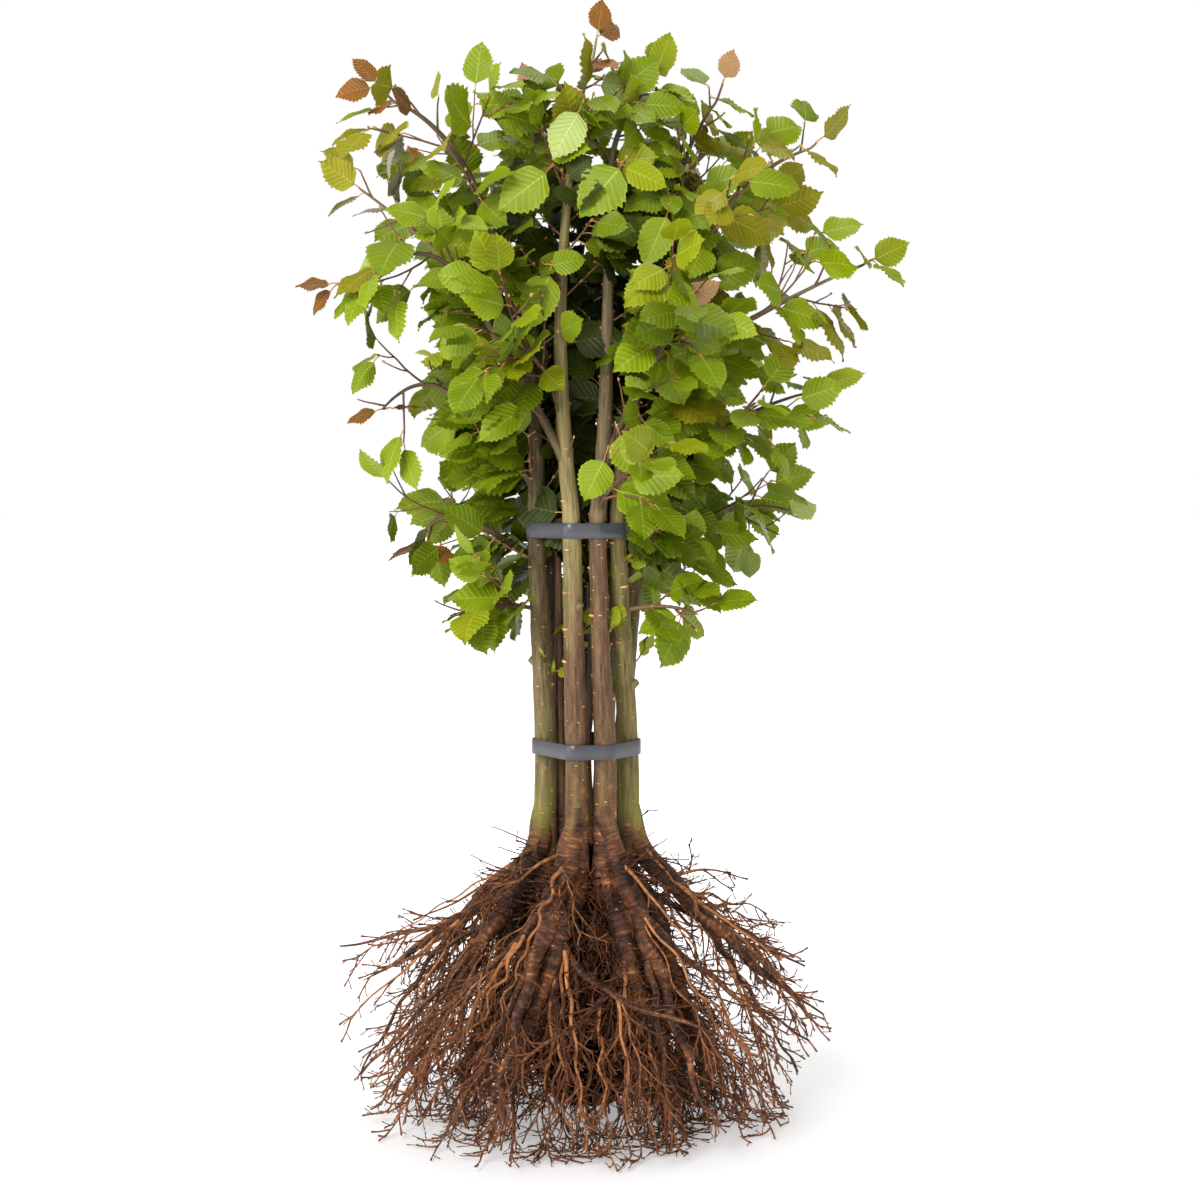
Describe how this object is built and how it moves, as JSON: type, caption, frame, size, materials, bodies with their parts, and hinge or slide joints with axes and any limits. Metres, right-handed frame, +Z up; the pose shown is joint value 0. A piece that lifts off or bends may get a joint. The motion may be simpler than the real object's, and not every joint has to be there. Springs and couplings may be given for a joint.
{
  "type": "tied bundle of bare-rooted hedging saplings",
  "caption": "Bundle of young leafy broadleaved saplings held by flat bands, standing upright on its spreading bare roots.",
  "frame": {"origin": "middle of the flat underside of the root heart, where the bundle stands", "axes": "+Z up along the stems, -Y to the front, +X to the right seen from the front"},
  "size_m": [0.6453, 0.5072, 1.1971],
  "materials": {
    "bark": "smooth young bark, satin",
    "foliage": "leaf, satin",
    "root_bark": "root bark, matt",
    "fine_roots": "fine roots, matt",
    "root_heart": "dark tangled roots, matt",
    "band": "satin"
  },
  "bodies": {
    "root": {"stem_left": "bark", "stem_front": "bark", "stem_front_right": "bark", "stem_right": "bark", "stem_right_slim": "bark", "stem_back_right": "bark", "stem_back": "bark", "stem_back_left": "bark", "bough_left_fork": "bark", "bough_left_rising": "bark", "bough_left_middle": "bark", "bough_left_low": "bark", "bough_front_right": "bark", "bough_right_high": "bark", "bough_right_middle": "bark", "bough_right_low": "bark", "bough_back_right": "bark", "bough_back_left": "bark", "bough_back_middle": "bark", "foliage_top": "foliage", "foliage_top_inner": "foliage", "foliage_top_left": "foliage", "foliage_top_right": "foliage", "foliage_upper_right": "foliage", "foliage_top_back_right": "foliage", "foliage_top_back": "foliage", "foliage_top_back_left": "foliage", "foliage_left_upper": "foliage", "foliage_left_rising": "foliage", "foliage_left_middle": "foliage", "foliage_left_low": "foliage", "foliage_front_right": "foliage", "foliage_right_high": "foliage", "foliage_right_middle": "foliage", "foliage_right_low": "foliage", "foliage_back_right": "foliage", "foliage_back_left": "foliage", "foliage_back_middle": "foliage", "foliage_front_middle": "foliage", "foliage_front_left": "foliage", "foliage_skirt_left": "foliage", "foliage_skirt_right": "foliage", "foliage_skirt_back": "foliage", "root_left": "root_bark", "root_front_left": "root_bark", "root_front_right": "root_bark", "root_right": "root_bark", "root_back_right": "root_bark", "root_back": "root_bark", "root_back_left": "root_bark", "root_mass_left": "fine_roots", "root_mass_front_left": "fine_roots", "root_mass_front_right": "fine_roots", "root_mass_right": "fine_roots", "root_mass_back_right": "fine_roots", "root_mass_back": "fine_roots", "root_mass_back_left": "fine_roots", "root_heart": "root_heart", "band_lower": "band", "band_upper": "band"}
  },
  "joints": []
}
